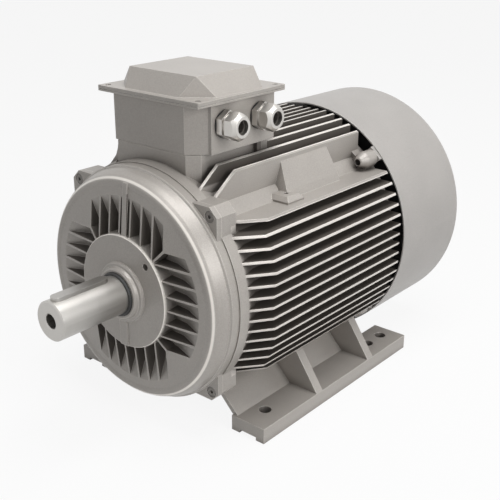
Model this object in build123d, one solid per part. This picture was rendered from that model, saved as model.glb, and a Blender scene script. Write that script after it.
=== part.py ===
"""Foot-mounted three-phase squirrel-cage motor, frame size 200, with two cable glands.

Millimetres.  The shaft lies along Y with its drive end towards -Y, X points to the gland side and
Z is up.  The origin is on the floor, under the shaft, midway between the outer foot holes.
"""
from build123d import *
from math import atan2, cos, degrees, radians, sin, sqrt
import os

# mounting sizes of the frame
SHAFT_HEIGHT = 200.0
FOOT_HOLES_ACROSS = 318.0
FOOT_HOLES_LONG = 305.0
FOOT_HOLES_SHORT = 267.0
FOOT_HOLE_DIAMETER = 18.5
SHOULDER_TO_HOLE = 128.0
SHAFT_END_DIAMETER = 55.0
SHAFT_END_LENGTH = 110.0
KEY_WIDTH, KEY_HEIGHT, KEY_LENGTH = 16.0, 10.0, 90.0
KEYWAY_DEPTH = 6.0
KEY_END_GAP = 5.0
CENTRE_HOLE_DIAMETER, CENTRE_HOLE_DEPTH = 20.0, 42.0
CENTRE_SINK_DIAMETER = 23.0

# stations along the shaft
SHOULDER_Y = -FOOT_HOLES_LONG / 2 - SHOULDER_TO_HOLE
SHAFT_TIP_Y = SHOULDER_Y - SHAFT_END_LENGTH
JOINT_FRONT_Y = -220.0
JOINT_REAR_Y = 141.0
COWL_FRONT_Y = 147.0
COWL_REAR_Y = 332.0

# frame casting
BARREL_RADIUS = 164.0
BORE_RADIUS = 155.0
RING_RADIUS = 171.0
RING_LENGTH, RING_SLOPE_LENGTH = 17.0, 22.0
EAR_HALF_WIDTH = 139.2
EAR_CORNER_CUT = 12.5
EAR_FRONT_Y, EAR_REAR_Y = -229.0, -193.0
REAR_BOSS_RADIUS, REAR_BOSS_POSITION = 13.0, 180.0
REAR_BOSS_FRONT_Y, REAR_BOSS_NOSE = 106.0, 14.0
FIN_THICKNESS = 3.5
FIN_TIP_RADIUS = 194.0
FIN_FLAT = 189.5
BOTTOM_FLAT = 182.0
SIDE_FIN_SPAN = 110.0
SIDE_FIN_COUNT = 15
TOP_FIN_PITCH = 15.6
TOP_FIN_COUNT = 14
BOTTOM_FIN_COUNT = 12
FIN_RISE_LENGTH = 34.0
CORNER_RISE_LENGTH = 51.0
PAD_OUTLINE = ((131.5, 110.0), (131.0, 111.75), (126.0, 122.0), (103.0, 158.5))
PAD_FRONT_LOW_Y, PAD_FRONT_HIGH_Y, PAD_REAR_Y = -74.0, -55.0, 54.0
BOSS_X, BOSS_Y = (108.0, 146.0), (-92.0, -56.0)
BOSS_RISE, BOSS_CHAMFER = 9.0, 6.0
BOSS_HOLE_PLACE, BOSS_HOLE_DIAMETER, BOSS_HOLE_DEPTH = (127.5, -72.8), 6.8, 8.5

# neck under the terminal box, part of the frame casting
NECK_HALF_WIDTH = 72.5
NECK_TOP_Z = 387.0
NECK_CHAMFER = 14.5
NECK_FLARE = ((-72.5, 182.0), (-74.0, 174.8), (-78.2, 164.6), (-93.5, 147.2))
NECK_FLARE_LENGTH = 20.0
LEAD_PASSAGE_HALF_WIDTH, LEAD_PASSAGE_LENGTH = 38.0, 46.0
NECK_WALL = 9.0
NECK_RIB_WIDTH, NECK_RIB_REACH, NECK_RIB_Y = 8.0, 8.0, -76.0

# feet
RAIL_INNER_X, RAIL_OUTER_X = 132.4, 190.7
RAIL_HEIGHT = 23.1
RAIL_FRONT_Y, RAIL_REAR_Y = -193.9, 179.3
RAIL_STRIP_WIDTH, RAIL_CHANNEL_DEPTH, HOLE_PAD_LENGTH = 14.3, 5.0, 44.0
WEB_DIAGONAL = 163.0
WEB_THICKNESS = 7.0
WEB_FRONT_Y, WEB_REAR_Y = -190.0, 88.0
GUSSET_THICKNESS = 15.0
GUSSET_FRONT_YS = (-71.0, 66.0)
GUSSET_TOP_X = 146.0

# drive end shield
HUB_FACE_Y = -268.7
HUB_RADIUS = 81.6
SHIELD_BORE_RADIUS = 31.5
COLLAR = ((31.5, -279.5), (34.5, -279.5), (36.5, -277.5), (38.0, -273.5), (41.5, -272.8), (43.3, -270.8),
          (43.3, -268.7))
RIB_PITCH, RIB_LOWEST, POCKETS_ACROSS = 20.4, -66.7, 7
RIB_THICKNESS, SPOKE_THICKNESS, RIB_DRAFT = 2.0, 2.6, 6.0
RIB_FACE_HUB_Y = -265.0
POCKET_FLOOR = ((81.6, -246.0), (104.0, -247.5), (120.0, -253.5), (134.0, -258.9))
POCKET_DEPTH = 21.0
RIM = ((145.5, -257.6), (150.0, -258.3), (153.5, -258.0), (156.2, -256.7), (158.4, -254.6), (160.4, -251.4),
       (163.6, -244.0), (166.2, -235.0))
FLANGE_RADIUS = 169.0
SHIELD_FLANGE_LENGTH = 15.0
SHIELD_WALL = 9.0
SPIGOT_LENGTH, SPIGOT_WALL = 9.0, 9.0
SPIGOT_CLEARANCE = 0.05
HUB_BAND_WIDTH, HUB_BAND_REACH = 15.0, 1.6
TOP_RIDGE_WIDTH, TOP_RIDGE_REACH = 8.4, 1.2
HUB_HOLE_RADIUS_POSITION, HUB_HOLE_DIAMETER, HUB_HOLE_DEPTH = 68.3, 10.0, 14.0
EAR_BOLT_POSITION = 178.5
EAR_BOLT_DIAMETER, EAR_BOLT_HEAD, EAR_BOLT_HEAD_HEIGHT = 8.0, 14.5, 3.6
EAR_BOLT_SOCKET, EAR_BOLT_SOCKET_DEPTH = 5.0, 2.2
EAR_SINK_DIAMETER, EAR_SINK_DEPTH = 16.0, 4.0
EAR_BOLT_GRIP = 18.0

# fan end shield
REAR_FLANGE_LENGTH = 14.0
REAR_HUB_RADIUS = 80.0
REAR_HUB_LENGTH = 30.0
REAR_BOLT_POSITION = 162.0
REAR_BOLT_DIAMETER, REAR_BOLT_HEAD, REAR_BOLT_HEAD_HEIGHT, REAR_BOLT_GRIP = 8.0, 13.0, 5.3, 22.0

# ball bearings, 60 x 130 x 31
BEARING_BORE_RADIUS, BEARING_OUTER_RADIUS, BEARING_WIDTH = 30.0, 65.0, 31.0
BALL_DIAMETER, BALL_COUNT = 22.2, 8
BALL_CLEARANCE = 0.06
RING_SHOULDER_GAP = 14.4
CAGE_THICKNESS, CAGE_WIDTH, CAGE_CLEARANCE = 4.6, 27.0, 0.35
DRIVE_BEARING_Y = -257.0
FAN_BEARING_Y = 132.0
SEAT_LIP = 5.0
CIRCLIP_THICKNESS, CIRCLIP_DEPTH = 4.0, 3.0
SPRING_THICKNESS, SPRING_GAP = 1.2, 3.0

# electrical parts
CORE_FRONT_Y, CORE_REAR_Y = -131.0, 69.0
STATOR_INNER_RADIUS = 98.5
AIR_GAP = 0.8
STATOR_SLOTS, STATOR_SLOT_WIDTH, STATOR_SLOT_DEPTH = 36, 8.0, 26.0
SLOT_MOUTH = 2.0
WINDING_OVERHANG, WINDING_OUTER_RADIUS = 56.0, 146.0
ROTOR_BARS, ROTOR_BAR_WIDTH, ROTOR_BAR_DEPTH = 28, 6.0, 18.0
END_RING_LENGTH, END_RING_INNER_RADIUS = 18.0, 70.0
ROTOR_BRIDGE = 1.5

# shaft behind the drive end
CORE_SEAT_RADIUS = 40.0
FAN_SEAT_RADIUS = 26.0
FAN_SEAT_LENGTH = 62.0
SHAFT_TAIL_LENGTH = 12.0
SHAFT_SEAL_RADIUS, SHAFT_SEAL_FRONT, SHAFT_SEAL_LENGTH = 31.1, 2.5, 8.0
V_RING_RADIUS, V_RING_LENGTH, V_RING_GAP = 36.0, 9.0, 0.4

# cooling fan and cowl
FAN_RADIUS, FAN_HUB_RADIUS, FAN_HUB_LENGTH = 178.0, 42.0, 34.0
FAN_DISC_THICKNESS, FAN_BLADE_COUNT, FAN_BLADE_WIDTH, FAN_BLADE_THICKNESS = 4.0, 7, 46.0, 4.0
FAN_FRONT_Y = 180.0
FAN_KEY_WIDTH, FAN_KEY_HEIGHT, FAN_KEY_LENGTH = 8.0, 7.0, 28.0
COWL_RADIUS, COWL_WALL = 194.8, 2.5
COWL_EDGE_ROUND = 14.0
GRILLE_HUB_RADIUS, GRILLE_OUTER_RADIUS = 24.0, 150.0
GRILLE_RINGS, GRILLE_SPOKES, GRILLE_BAR = 7, 6, 7.0
COWL_SCREW_POSITION = 179.0
COWL_SCREW_DIAMETER, COWL_SCREW_HEAD, COWL_SCREW_HEAD_HEIGHT = 6.0, 10.0, 6.0
COWL_SCREW_SOCKET, COWL_SCREW_SINK_DIAMETER, COWL_SCREW_SEAT_Y = 5.0, 10.6, 127.0
COWL_NUT_WIDTH = 10.0
COWL_TAB_WIDTH, COWL_TAB_INNER_RADIUS = 24.0, 170.5
NUT_HEIGHT = 5.0

# terminal box
BOX_HALF_WIDTH = 78.5
BOX_FRONT_Y, BOX_REAR_Y = -199.5, -49.0
BOX_BOTTOM_Z = 388.0
BOX_RIM_Z, BOX_TOP_Z = 455.2, 457.8
BOX_WALL, BOX_FLOOR = 6.0, 8.0
BOX_CHAMFER = 22.0
BOX_CORNER_ROUND = 3.0
PAD_REACH = 6.0
GASKET_THICKNESS = 2.0
LID_GASKET_THICKNESS = 0.5
BOX_SCREW_INSET = 15.0
BOX_SCREW_DIAMETER, BOX_SCREW_HEAD, BOX_SCREW_HEAD_HEIGHT, BOX_SCREW_GRIP = 8.0, 13.0, 8.0, 20.0
LID_HALF_WIDTH = 94.4
LID_OVERHANG_FRONT, LID_OVERHANG_REAR = 12.4, 12.3
LID_PLATE = 4.5
LID_HIP_HEIGHT = 25.3
LID_HIP_BASE = (88.0, 9.5)
LID_HIP_TOP = (62.2, 31.0)
LID_HIP_CORNER = (38.0, 32.4)
LID_WALL = 3.0
LID_SCREW_INSET = 10.3
LID_SCREW_DIAMETER, LID_SCREW_HEAD, LID_SCREW_HEAD_HEIGHT = 4.0, 7.0, 2.4
LID_SINK_DIAMETER, LID_SINK_DEPTH = 8.2, 3.2

# cable glands, M32
GLAND_YS = (-153.0, -82.0)
GLAND_Z = 425.5
GLAND_THREAD_RADIUS = 16.0
GLAND_HEX_WIDTH, GLAND_HEX_LENGTH = 34.6, 9.0
GLAND_NECK_RADIUS, GLAND_NECK_LENGTH = 15.0, 4.0
GLAND_CAP_WIDTH, GLAND_CAP_LENGTH, GLAND_CAP_NOSE = 34.0, 18.0, 7.0
GLAND_OPENING_RADIUS = 10.0
GLAND_SEAL_RADIUS = 9.0
GLAND_SEAL_WALL = 3.5
GLAND_THREAD_LENGTH = 15.0
GLAND_GASKET_RADIUS = 18.4

# terminal board
BOARD_LENGTH, BOARD_WIDTH, BOARD_THICKNESS = 92.0, 58.0, 10.0
BOARD_LIFT = 6.0
STUD_RADIUS, STUD_PITCH_Y, STUD_PITCH_X, STUD_HEIGHT = 4.0, 26.0, 30.0, 24.0
STUD_NUT_WIDTH, STUD_NUT_HEIGHT = 13.0, 6.5
LINK_THICKNESS, LINK_WIDTH = 2.0, 13.0

SHAFT_END_RADIUS = SHAFT_END_DIAMETER / 2
CORNERS = (45, 135, 225, 315)
parts = {}


def spin(outline):
    """Turn an outline of (radius, y) points about the shaft."""
    return Pos(0, 0, SHAFT_HEIGHT) * revolve(make_face(Polyline(*outline, close=True)), Axis.Y)


def ring(inner, outer, y0, y1):
    return spin([(inner, y0), (outer, y0), (outer, y1), (inner, y1)])


def along(sketch, y0, y1):
    """Extrude a section, drawn as (x, height above the shaft), from y0 to y1."""
    plane = Plane(origin=(0, y1, SHAFT_HEIGHT), x_dir=(1, 0, 0), z_dir=(0, -1, 0))
    return extrude(plane * sketch, amount=y1 - y0)


def rod(radius, y0, y1, x=0.0, rise=0.0):
    return along(Pos(x, rise) * Circle(radius), y0, y1)


def block(x0, x1, y0, y1, z0, z1):
    return Pos((x0 + x1) / 2, (y0 + y1) / 2, (z0 + z1) / 2) * Box(x1 - x0, y1 - y0, z1 - z0)


def upright(sketch, z0, z1):
    return extrude(Pos(0, 0, z0) * sketch, amount=z1 - z0)


def polygon(*points):
    return make_face(Polyline(*points, close=True))


def hexagon(across_flats):
    return RegularPolygon(across_flats / 2, 6, major_radius=False)


def polar(radius, angle):
    return radius * cos(radians(angle)), radius * sin(radians(angle))


def mirrored(shape):
    return mirror(shape, about=Plane.YZ)


def joined(pieces):
    whole = pieces[0]
    for piece in pieces[1:]:
        whole = whole + piece
    return whole


def square_with_cut_corners(half, reach):
    """Square of the given half width, its corners cut where |x| + |y| passes reach."""
    inner = reach - half
    corners = [(half, inner), (inner, half), (-inner, half), (-half, inner)]
    return polygon(*corners, *[(-x, -y) for x, y in corners])


def frame_section():
    """Barrel and every fin, as one flat section."""
    pitch = 2 * SIDE_FIN_SPAN / (SIDE_FIN_COUNT - 1)
    section = Circle(BARREL_RADIUS)
    for index in range(1, SIDE_FIN_COUNT - 1):
        height = SIDE_FIN_SPAN - index * pitch
        section += Pos(0, height) * Rectangle(2 * FIN_TIP_RADIUS, FIN_THICKNESS)
    for index in range(1, TOP_FIN_COUNT - 1):
        x = (index - (TOP_FIN_COUNT - 1) / 2) * TOP_FIN_PITCH
        section += Pos(x, FIN_TIP_RADIUS / 2) * Rectangle(FIN_THICKNESS, FIN_TIP_RADIUS)
    for index in range(BOTTOM_FIN_COUNT):
        x = (index - (BOTTOM_FIN_COUNT - 1) / 2) * TOP_FIN_PITCH
        section += Pos(x, -FIN_TIP_RADIUS / 2) * Rectangle(FIN_THICKNESS, FIN_TIP_RADIUS)
    return section


def corner_section():
    """The floor and the wall that frame each cleared 45 degree corner, and the plate below it."""
    section = Pos(0, SIDE_FIN_SPAN) * Rectangle(2 * FIN_TIP_RADIUS, FIN_THICKNESS)
    section += Pos(0, -SIDE_FIN_SPAN) * Rectangle(2 * FIN_TIP_RADIUS, FIN_THICKNESS)
    wall_x = (TOP_FIN_COUNT - 1) / 2 * TOP_FIN_PITCH
    for x in (wall_x, -wall_x):
        section += Pos(x, FIN_TIP_RADIUS / 2) * Rectangle(FIN_THICKNESS, FIN_TIP_RADIUS)
    return section + Circle(BARREL_RADIUS)


def fin_envelope(start_radius, rise_length):
    """Space that the fins fill: their fronts rise from the ring out to the tips."""
    start = JOINT_FRONT_Y + RING_LENGTH
    outline = [(0, start), (start_radius, start), (FIN_TIP_RADIUS, start + rise_length),
               (FIN_TIP_RADIUS, JOINT_REAR_Y), (0, JOINT_REAR_Y)]
    flats = block(-FIN_FLAT, FIN_FLAT, start, JOINT_REAR_Y,
                  SHAFT_HEIGHT - BOTTOM_FLAT, SHAFT_HEIGHT + FIN_FLAT)
    return spin(outline) & flats


def corner_pad():
    """Slanted pad between wall and floor of the cleared corner, with a low boss in front of it."""
    wall_x = (TOP_FIN_COUNT - 1) / 2 * TOP_FIN_PITCH
    outer_x, wall_top = PAD_OUTLINE[0][0], PAD_OUTLINE[-1][1]
    section = polygon((wall_x, SIDE_FIN_SPAN), *PAD_OUTLINE, (wall_x, wall_top))
    pad = along(section, PAD_FRONT_LOW_Y, PAD_REAR_Y)
    low, high = SHAFT_HEIGHT + SIDE_FIN_SPAN, SHAFT_HEIGHT + wall_top
    slope = polygon((PAD_FRONT_LOW_Y - 1, low), (PAD_FRONT_LOW_Y, low), (PAD_FRONT_HIGH_Y, high), (PAD_FRONT_LOW_Y - 1, high))
    pad -= extrude(Plane.YZ * slope, amount=outer_x + 1)
    boss = block(*BOSS_X, *BOSS_Y, low, low + FIN_THICKNESS / 2 + BOSS_RISE)
    return pad + chamfer(boss.faces().sort_by(Axis.Z)[-1].edges(), BOSS_CHAMFER)


def boss_hole():
    top = SHAFT_HEIGHT + SIDE_FIN_SPAN + FIN_THICKNESS / 2 + BOSS_RISE
    return upright(Pos(*BOSS_HOLE_PLACE) * Circle(BOSS_HOLE_DIAMETER / 2), top - BOSS_HOLE_DEPTH, top)


def rear_boss(angle):
    """Round-nosed boss that carries a cowl screw, with its foot in the frame."""
    radius, nose = REAR_BOSS_RADIUS, REAR_BOSS_FRONT_Y + REAR_BOSS_NOSE
    x, rise = polar(REAR_BOSS_POSITION, angle)
    foot_length = REAR_BOSS_POSITION - BARREL_RADIUS + 8
    foot_place = Rot(0, 0, angle) * Pos(REAR_BOSS_POSITION - foot_length / 2, 0)
    boss = along(foot_place * Rectangle(foot_length, 2 * radius), nose, JOINT_REAR_Y)
    profile = FilletPolyline((0, REAR_BOSS_FRONT_Y), (radius / 2, REAR_BOSS_FRONT_Y), (radius, nose), (radius, JOINT_REAR_Y),
                             (0, JOINT_REAR_Y), radius=(4, 6, 0.1))
    closing = Line((0, JOINT_REAR_Y), (0, REAR_BOSS_FRONT_Y))
    return boss + Pos(x, 0, SHAFT_HEIGHT + rise) * revolve(make_face(profile + closing), Axis.Y)


def neck():
    """Hollow-centred neck under the terminal box, its gland-side front corner cut."""
    half = NECK_HALF_WIDTH
    foot_x, foot_rise = NECK_FLARE[-1]
    flare = polygon(*NECK_FLARE, (foot_x, foot_rise - 20), (-half, foot_rise - 20))
    rib = block(half, half + NECK_RIB_REACH, NECK_RIB_Y - NECK_RIB_WIDTH / 2, NECK_RIB_Y + NECK_RIB_WIDTH / 2,
                SHAFT_HEIGHT + BARREL_RADIUS - 20, NECK_TOP_Z)
    return joined([upright(neck_plan(0), SHAFT_HEIGHT, NECK_TOP_Z), rib, mirrored(rib),
                   along(flare, BOX_FRONT_Y, BOX_FRONT_Y + NECK_FLARE_LENGTH)])


def neck_plan(inset):
    half = NECK_HALF_WIDTH - inset
    front, rear = BOX_FRONT_Y + inset, BOX_REAR_Y - inset
    cut = NECK_CHAMFER - inset * (2 - sqrt(2))
    return polygon((-half, front), (half - cut, front), (half, front + cut), (half, rear), (-half, rear))


def front_ring():
    """Ring behind the shield's joint, its back sloping down to the barrel."""
    ring_end = JOINT_FRONT_Y + RING_LENGTH
    slope_end = ring_end + RING_SLOPE_LENGTH
    return spin([(0, JOINT_FRONT_Y), (RING_RADIUS, JOINT_FRONT_Y), (RING_RADIUS, ring_end),
                 (BARREL_RADIUS, slope_end), (0, slope_end)])


def stator_frame():
    ring_end, rear_start = JOINT_FRONT_Y + RING_LENGTH, JOINT_REAR_Y - RING_LENGTH
    body = along(frame_section(), ring_end, JOINT_REAR_Y) & fin_envelope(RING_RADIUS, FIN_RISE_LENGTH)
    corners = along(corner_section(), ring_end, JOINT_REAR_Y) & fin_envelope(BARREL_RADIUS, CORNER_RISE_LENGTH)
    ears = square_with_cut_corners(EAR_HALF_WIDTH, 2 * EAR_HALF_WIDTH - EAR_CORNER_CUT)
    pad = corner_pad()
    neck_end = BOX_FRONT_Y + NECK_CHAMFER
    before_neck = block(-NECK_HALF_WIDTH, NECK_HALF_WIDTH, ring_end, neck_end, SHAFT_HEIGHT, SHAFT_HEIGHT + FIN_TIP_RADIUS)
    body -= before_neck - rod(BARREL_RADIUS, ring_end, neck_end)
    frame = joined([body, corners, front_ring(), along(ears, JOINT_FRONT_Y, EAR_REAR_Y),
                    ring(0, RING_RADIUS, rear_start, JOINT_REAR_Y), *[rear_boss(angle) for angle in CORNERS],
                    neck(), pad, mirrored(pad)])
    frame -= rod(BORE_RADIUS, JOINT_FRONT_Y, JOINT_REAR_Y)
    passage_front = BOX_FRONT_Y + NECK_WALL
    frame -= block(-LEAD_PASSAGE_HALF_WIDTH, LEAD_PASSAGE_HALF_WIDTH, passage_front,
                   passage_front + LEAD_PASSAGE_LENGTH, SHAFT_HEIGHT, NECK_TOP_Z)
    side = BOX_HALF_WIDTH + PAD_REACH
    frame -= block(-side, side, BOX_FRONT_Y, BOX_REAR_Y, NECK_TOP_Z, SHAFT_HEIGHT + FIN_TIP_RADIUS)
    for x, y in box_screw_places():
        frame -= upright(Pos(x, y) * Circle(BOX_SCREW_DIAMETER / 2), NECK_TOP_Z - box_screw_depth(), NECK_TOP_Z)
    for angle in CORNERS:
        x, rise = polar(EAR_BOLT_POSITION, angle)
        frame -= rod(EAR_BOLT_DIAMETER / 2, JOINT_FRONT_Y, JOINT_FRONT_Y + EAR_BOLT_GRIP, x, rise)
        x, rise = polar(COWL_SCREW_POSITION, angle)
        frame -= rod(COWL_SCREW_DIAMETER / 2, COWL_SCREW_SEAT_Y, JOINT_REAR_Y, x, rise)
        frame -= rod(COWL_SCREW_SINK_DIAMETER / 2, REAR_BOSS_FRONT_Y, COWL_SCREW_SEAT_Y, x, rise)
        x, rise = polar(REAR_BOLT_POSITION, angle - 45)
        frame -= rod(REAR_BOLT_DIAMETER / 2, JOINT_REAR_Y - REAR_BOLT_GRIP, JOINT_REAR_Y, x, rise)
    hole = boss_hole()
    return frame - hole - mirrored(hole)


def foot():
    """Right foot: rail, slanted web and two gussets, shaped to the barrel and the fin above."""
    rail = polygon((RAIL_INNER_X, 0), (RAIL_INNER_X + RAIL_STRIP_WIDTH, 0),
                   (RAIL_INNER_X + RAIL_STRIP_WIDTH, RAIL_CHANNEL_DEPTH),
                   (RAIL_OUTER_X - RAIL_STRIP_WIDTH, RAIL_CHANNEL_DEPTH),
                   (RAIL_OUTER_X - RAIL_STRIP_WIDTH, 0), (RAIL_OUTER_X, 0),
                   (RAIL_OUTER_X, RAIL_HEIGHT), (RAIL_INNER_X, RAIL_HEIGHT))
    inner_diagonal = WEB_DIAGONAL - WEB_THICKNESS * sqrt(2)
    top = SHAFT_HEIGHT - SIDE_FIN_SPAN - FIN_THICKNESS / 2
    web = polygon((WEB_DIAGONAL - RAIL_HEIGHT, RAIL_HEIGHT), (RAIL_INNER_X, RAIL_HEIGHT),
                  (RAIL_INNER_X, inner_diagonal - RAIL_INNER_X),
                  (inner_diagonal - top, top), (WEB_DIAGONAL - top, top))
    gusset = polygon((RAIL_INNER_X, RAIL_HEIGHT), (RAIL_OUTER_X, RAIL_HEIGHT), (GUSSET_TOP_X, top),
                     (inner_diagonal - top, top), (RAIL_INNER_X, inner_diagonal - RAIL_INNER_X))
    drop = Pos(0, -SHAFT_HEIGHT)
    pieces = [along(drop * rail, RAIL_FRONT_Y, RAIL_REAR_Y), along(drop * web, WEB_FRONT_Y, WEB_REAR_Y)]
    pieces += [along(drop * gusset, y, y + GUSSET_THICKNESS) for y in GUSSET_FRONT_YS]
    solid = joined(pieces) - rod(BARREL_RADIUS, RAIL_FRONT_Y, RAIL_REAR_Y) - front_ring()
    for y in foot_hole_ys():
        solid += block(RAIL_INNER_X + 1, RAIL_OUTER_X - 1, y - HOLE_PAD_LENGTH / 2, y + HOLE_PAD_LENGTH / 2,
                       0, RAIL_HEIGHT / 2)
    for y in foot_hole_ys():
        solid -= Pos(FOOT_HOLES_ACROSS / 2, y, RAIL_HEIGHT / 2) * Cylinder(FOOT_HOLE_DIAMETER / 2, 2 * RAIL_HEIGHT)
    return solid


def foot_hole_ys():
    front = -FOOT_HOLES_LONG / 2
    return front, front + FOOT_HOLES_SHORT, front + FOOT_HOLES_LONG


def shield_pockets():
    """Space between the shield's ribs: four fans on one grid, parted by a spoke at each corner, with drafted sides."""
    lines = [RIB_LOWEST + index * RIB_PITCH for index in range(POCKETS_ACROSS + 1)]
    low, high = lines[0], lines[-1]
    corners = [(high, -high), (low, -high), (low, -low), (high, -low)]
    spokes = [spoke_section(corner) for corner in corners]
    across = [Pos((left + right) / 2, 0) * Rectangle(right - left - RIB_THICKNESS, 4 * high)
              for left, right in zip(lines, lines[1:])]
    ridge = Pos((low + high) / 2, -high) * Rectangle(TOP_RIDGE_WIDTH, 2 * high)
    pockets = []
    for index, corner in enumerate(corners):
        following = corners[(index + 1) % 4]
        sector = polygon((0, 0), tuple(2.4 * value for value in corner), tuple(2.4 * value for value in following))
        for slot in across:
            strip = slot if index % 2 == 0 else Rot(0, 0, -90) * slot
            section = (sector & strip) - spokes[index] - spokes[(index + 1) % 4]
            if index == 0:
                section -= ridge
            pockets += section.faces()
    front = Plane(origin=(0, RIB_FACE_HUB_Y - 1, SHAFT_HEIGHT), x_dir=(1, 0, 0), z_dir=(0, 1, 0))
    return [extrude(front * face, amount=POCKET_DEPTH, taper=RIB_DRAFT) for face in pockets]


def spoke_section(corner):
    """Thin bar from the shaft's centre out past a corner of the rib grid."""
    x, y = corner
    length = 3 * sqrt(x * x + y * y)
    return Rot(0, 0, degrees(atan2(y, x))) * Pos(length / 2, 0) * Rectangle(length, SPOKE_THICKNESS)


def shield_ribs_cut():
    front_y = RIB_FACE_HUB_Y - 1
    space = spin([(POCKET_FLOOR[0][0], front_y), *POCKET_FLOOR, (POCKET_FLOOR[-1][0], front_y)])
    return [space & pocket for pocket in shield_pockets()]


def grease_ridge():
    """Flat ridge that covers the grease duct, from the hub to the rim, on top of the ribs' cone."""
    middle, half = RIB_LOWEST + RIB_PITCH * POCKETS_ACROSS / 2, TOP_RIDGE_WIDTH / 2
    inner, rise = HUB_RADIUS - 2, TOP_RIDGE_REACH
    outer, outer_y = RIM[2]
    cover = spin([(inner, RIB_FACE_HUB_Y + 3), (inner, RIB_FACE_HUB_Y - rise), (RIM[1][0], RIM[1][1] - rise),
                  (outer, outer_y - rise / 2), (outer + 4, outer_y + 5)])
    return cover & block(middle - half, middle + half, HUB_FACE_Y, outer_y + 5, SHAFT_HEIGHT, SHAFT_HEIGHT + outer + 4)


def drive_end_shield():
    flange_front = JOINT_FRONT_Y - SHIELD_FLANGE_LENGTH
    spigot_radius = BORE_RADIUS - SPIGOT_CLEARANCE
    seat_end = DRIVE_BEARING_Y + BEARING_WIDTH
    hub_end = seat_end + CIRCLIP_THICKNESS + SEAT_LIP
    wall_hub_y = POCKET_FLOOR[0][1] + SHIELD_WALL
    body = spin([
        *COLLAR, (HUB_RADIUS - 1, HUB_FACE_Y), (HUB_RADIUS, HUB_FACE_Y + 1), (HUB_RADIUS, RIB_FACE_HUB_Y), *RIM,
        (FLANGE_RADIUS - 2, flange_front), (FLANGE_RADIUS, flange_front + 2),
        (FLANGE_RADIUS, JOINT_FRONT_Y), (spigot_radius, JOINT_FRONT_Y),
        (spigot_radius, JOINT_FRONT_Y + SPIGOT_LENGTH), (spigot_radius - SPIGOT_WALL, JOINT_FRONT_Y + SPIGOT_LENGTH),
        (spigot_radius - SPIGOT_WALL, JOINT_FRONT_Y - 14), (RIM[0][0] - 2, RIM[0][1] + SHIELD_WALL + 6),
        (REAR_HUB_RADIUS + 12, wall_hub_y), (REAR_HUB_RADIUS, hub_end), (BEARING_OUTER_RADIUS, hub_end),
        (BEARING_OUTER_RADIUS, DRIVE_BEARING_Y), (BEARING_OUTER_RADIUS - SEAT_LIP, DRIVE_BEARING_Y),
        (BEARING_OUTER_RADIUS - SEAT_LIP, DRIVE_BEARING_Y - 2), (SHIELD_BORE_RADIUS, DRIVE_BEARING_Y - 2)])
    ears = square_with_cut_corners(EAR_HALF_WIDTH, 2 * EAR_HALF_WIDTH - EAR_CORNER_CUT)
    body += along(ears - Circle(spigot_radius), EAR_FRONT_Y, JOINT_FRONT_Y)
    half_band = HUB_BAND_WIDTH / 2
    body += block(-half_band, half_band, HUB_FACE_Y - HUB_BAND_REACH, HUB_FACE_Y,
                  SHAFT_HEIGHT - HUB_RADIUS + 1, SHAFT_HEIGHT - COLLAR[-1][0])
    body += grease_ridge()
    body = body - shield_ribs_cut()
    body -= ring(BEARING_OUTER_RADIUS - 1, BEARING_OUTER_RADIUS + CIRCLIP_DEPTH, seat_end, seat_end + CIRCLIP_THICKNESS)
    for angle in CORNERS:
        x, rise = polar(EAR_BOLT_POSITION, angle)
        body -= rod(EAR_BOLT_DIAMETER / 2, EAR_FRONT_Y, JOINT_FRONT_Y, x, rise)
        body -= rod(EAR_SINK_DIAMETER / 2, EAR_FRONT_Y, EAR_FRONT_Y + EAR_SINK_DEPTH, x, rise)
    x, rise = polar(HUB_HOLE_RADIUS_POSITION, 46)
    return body - rod(HUB_HOLE_DIAMETER / 2, HUB_FACE_Y, HUB_FACE_Y + HUB_HOLE_DEPTH, x, rise)


def ear_bolts():
    """Low socket head screws, sunk in the ears of the drive end shield."""
    seat = EAR_FRONT_Y + EAR_SINK_DEPTH
    front = seat - EAR_BOLT_HEAD_HEIGHT
    bolts = []
    for angle in CORNERS:
        x, rise = polar(EAR_BOLT_POSITION, angle)
        head = rod(EAR_BOLT_HEAD / 2, front, seat, x, rise)
        head -= along(Pos(x, rise) * hexagon(EAR_BOLT_SOCKET), front, front + EAR_BOLT_SOCKET_DEPTH)
        bolts.append(head + rod(EAR_BOLT_DIAMETER / 2, seat, JOINT_FRONT_Y + EAR_BOLT_GRIP, x, rise))
    return Compound(children=bolts)


def fan_end_shield():
    flange_end = JOINT_REAR_Y + REAR_FLANGE_LENGTH
    spigot_radius = BORE_RADIUS - SPIGOT_CLEARANCE
    seat_front = FAN_BEARING_Y - SPRING_GAP
    seat_end = FAN_BEARING_Y + BEARING_WIDTH
    hub_end = seat_end + SEAT_LIP
    body = spin([
        (BEARING_OUTER_RADIUS, seat_front - 4), (REAR_HUB_RADIUS, seat_front - 4), (REAR_HUB_RADIUS + 6, JOINT_REAR_Y),
        (spigot_radius - SPIGOT_WALL, JOINT_REAR_Y + 3), (spigot_radius - SPIGOT_WALL, JOINT_REAR_Y - SPIGOT_LENGTH),
        (spigot_radius, JOINT_REAR_Y - SPIGOT_LENGTH), (spigot_radius, JOINT_REAR_Y), (FLANGE_RADIUS, JOINT_REAR_Y),
        (FLANGE_RADIUS, flange_end - 2), (FLANGE_RADIUS - 2, flange_end), (REAR_HUB_RADIUS + 6, flange_end),
        (REAR_HUB_RADIUS, hub_end), (SHIELD_BORE_RADIUS, hub_end), (SHIELD_BORE_RADIUS, seat_end + SPRING_GAP),
        (BEARING_OUTER_RADIUS, seat_end + SPRING_GAP)])
    for angle in CORNERS:
        x, rise = polar(REAR_BOLT_POSITION, angle - 45)
        body -= rod(REAR_BOLT_DIAMETER / 2, JOINT_REAR_Y, flange_end, x, rise)
    return body


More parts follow.
